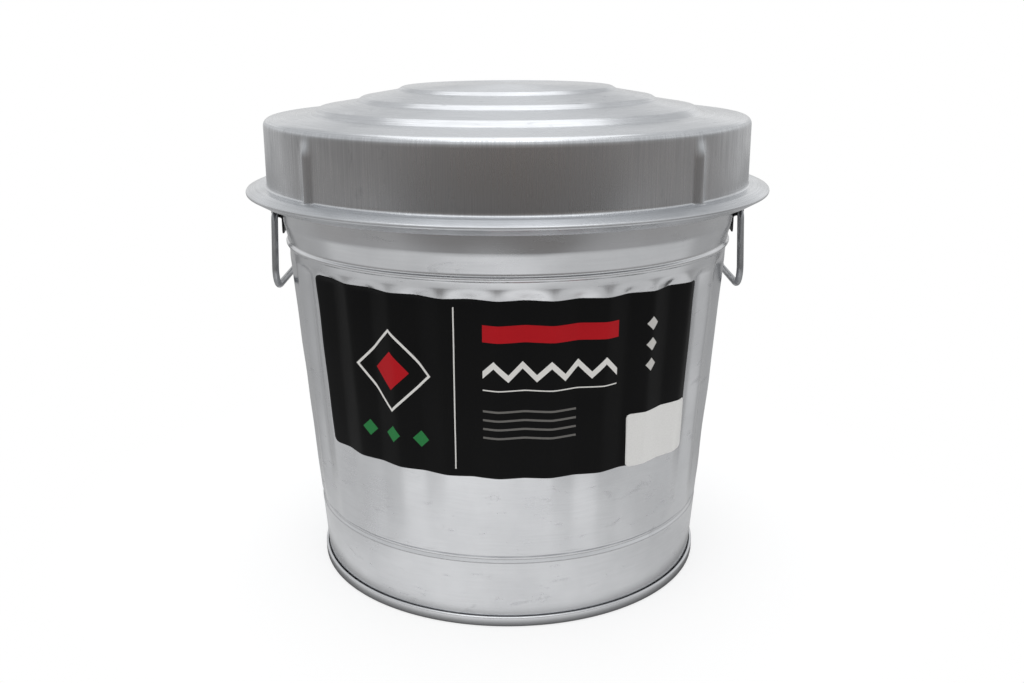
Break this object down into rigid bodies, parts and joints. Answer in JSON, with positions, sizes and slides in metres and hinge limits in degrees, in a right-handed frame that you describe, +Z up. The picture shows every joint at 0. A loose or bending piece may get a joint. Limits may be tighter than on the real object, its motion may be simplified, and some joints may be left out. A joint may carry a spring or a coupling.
{
  "type": "trash can",
  "caption": "Round galvanised steel trash can with a fluted tapered wall, a loose stepped lid with a rolled flange, wire drop handles and a dark printed label on its front.",
  "frame": {"origin": "middle of the foot, on the floor", "axes": "+Z up along the can's axis, the label faces -Y, the handles are on +X and -X"},
  "size_m": [0.368, 0.368, 0.3458],
  "materials": {
    "galvanised_sheet": "galvanised sheet, satin",
    "lid_sheet": "galvanised sheet, drawn, satin to bright",
    "plain_wire": "galvanised round wire",
    "dark_ear": "black coated pressing",
    "rivet_steel": "plain steel rivet",
    "label_paper": "coated paper with a printed design",
    "sticker_paper": "coated white paper"
  },
  "bodies": {
    "can": {"side_wall": "galvanised_sheet", "rim_wire": "plain_wire", "bottom_pan": "galvanised_sheet", "left_ear": "dark_ear", "right_ear": "dark_ear", "left_ear_rivets": "rivet_steel", "right_ear_rivets": "rivet_steel", "front_label": "label_paper", "white_sticker": "sticker_paper"},
    "lid": {"lid": "lid_sheet"},
    "left_handle": {"left_handle": "plain_wire"},
    "right_handle": {"right_handle": "plain_wire"}
  },
  "joints": [
    {"name": "lid_lift", "type": "slide", "parent": "can", "child": "lid", "axis": [0, 0, 1], "range_m": [0, 0.15]},
    {"name": "left_handle_swing", "type": "hinge", "parent": "can", "child": "left_handle", "pos_m": [-0.16265, 0, 0.2598], "axis": [0, 1, 0], "range_deg": [-5, 110]},
    {"name": "right_handle_swing", "type": "hinge", "parent": "can", "child": "right_handle", "pos_m": [0.16265, 0, 0.2598], "axis": [0, -1, 0], "range_deg": [-5, 110]}
  ]
}
